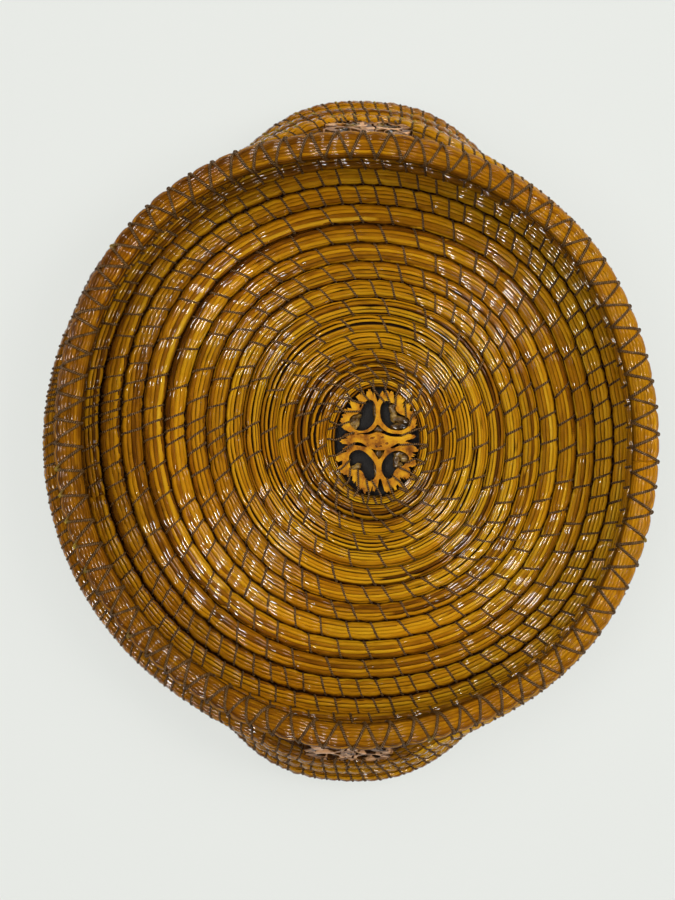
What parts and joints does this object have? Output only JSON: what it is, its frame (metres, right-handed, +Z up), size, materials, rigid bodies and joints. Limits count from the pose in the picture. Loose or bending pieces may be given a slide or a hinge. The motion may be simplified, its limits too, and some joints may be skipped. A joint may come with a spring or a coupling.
{
  "type": "coiled pine needle basket",
  "caption": "Shallow round basket of coiled, stitched pine needles, with a walnut slice in its base and in each raised lug handle.",
  "frame": {"origin": "middle of the outline's box, on the plane that the base rests on", "axes": "+Z up out of the basket, +Y towards the back lug handle, the picture's upper one, +X towards the side where the wall stands straightest, the picture's right"},
  "size_m": [0.2094, 0.2362, 0.0527],
  "materials": {
    "pine_needles": "glossy, shellacked needles laid side by side",
    "walnut_shell": "satin, sawn and varnished shell",
    "waxed_thread": "waxed two-ply sinew thread",
    "dark_backing": "matt black cloth"
  },
  "bodies": {
    "root": {"centre_slice": "walnut_shell", "slice_backing": "dark_backing", "base_coil": "pine_needles", "wall_coil": "pine_needles", "rim_coil": "pine_needles", "rim_lacing": "waxed_thread", "handle_slice_back": "walnut_shell", "handle_slice_front": "walnut_shell", "handle_tie_back_1": "waxed_thread", "handle_tie_back_2": "waxed_thread", "handle_tie_back_3": "waxed_thread", "handle_tie_back_4": "waxed_thread", "handle_tie_back_5": "waxed_thread", "handle_tie_front_1": "waxed_thread", "handle_tie_front_2": "waxed_thread", "handle_tie_front_3": "waxed_thread", "handle_tie_front_4": "waxed_thread", "handle_tie_front_5": "waxed_thread", "centre_tie_01": "waxed_thread", "centre_tie_02": "waxed_thread", "centre_tie_03": "waxed_thread", "centre_tie_04": "waxed_thread", "centre_tie_05": "waxed_thread", "centre_tie_06": "waxed_thread", "centre_tie_07": "waxed_thread", "centre_tie_08": "waxed_thread", "centre_tie_09": "waxed_thread", "centre_tie_10": "waxed_thread", "centre_tie_11": "waxed_thread", "centre_tie_12": "waxed_thread", "centre_tie_13": "waxed_thread", "centre_tie_14": "waxed_thread", "centre_tie_15": "waxed_thread", "centre_tie_16": "waxed_thread", "centre_tie_17": "waxed_thread", "centre_tie_18": "waxed_thread", "centre_tie_19": "waxed_thread", "centre_tie_20": "waxed_thread", "centre_tie_21": "waxed_thread", "centre_tie_22": "waxed_thread"}
  },
  "joints": []
}
